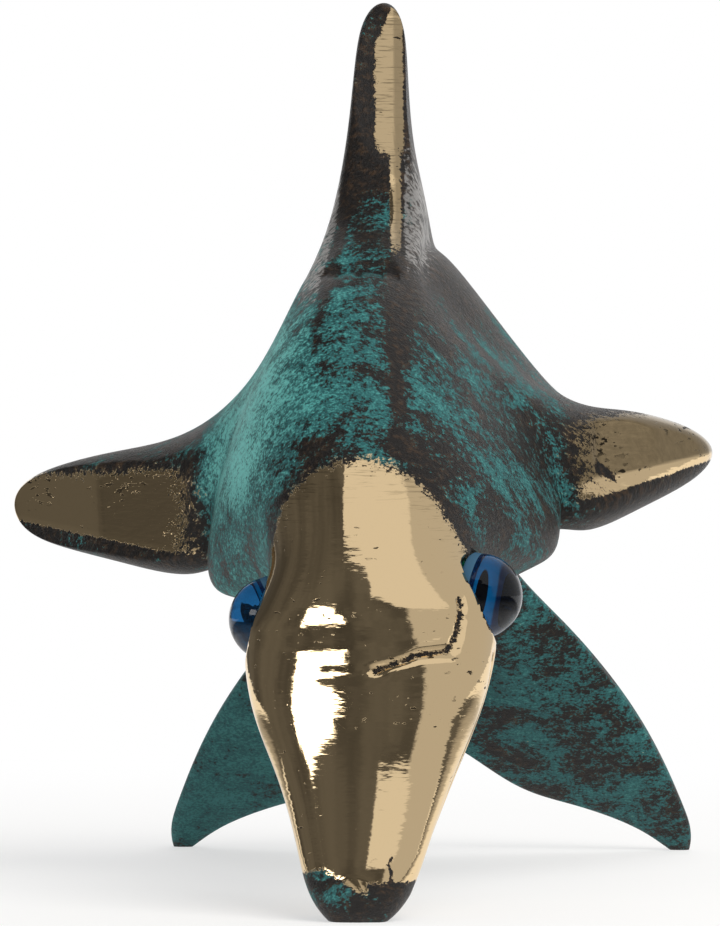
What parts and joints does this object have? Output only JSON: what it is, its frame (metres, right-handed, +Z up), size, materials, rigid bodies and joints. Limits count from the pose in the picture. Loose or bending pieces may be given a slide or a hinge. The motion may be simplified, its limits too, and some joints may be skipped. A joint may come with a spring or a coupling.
{
  "type": "dolphin figurine",
  "caption": "Arched dolphin figurine of solid cast bronze with domed blue glass eyes, standing on the tip of its beak and the tips of its tail flukes",
  "frame": {"origin": "the middle of the bounding box, on the floor that the figurine stands on", "axes": "+Z up; the dolphin faces -Y, so its length lies along Y; +X is its left side"},
  "size_m": [0.0709, 0.0978, 0.0896],
  "materials": {
    "patinated_bronze": "dark brown bronze mottled with blue-green patina, polished to gold-coloured metal on the face, the front of the flippers and the front edge of the back fin",
    "blue_glass": "clear domed glass over a blue iris and a black pupil"
  },
  "bodies": {
    "root": {"cast_body": "patinated_bronze", "eye_left": "blue_glass", "eye_right": "blue_glass"}
  },
  "joints": []
}
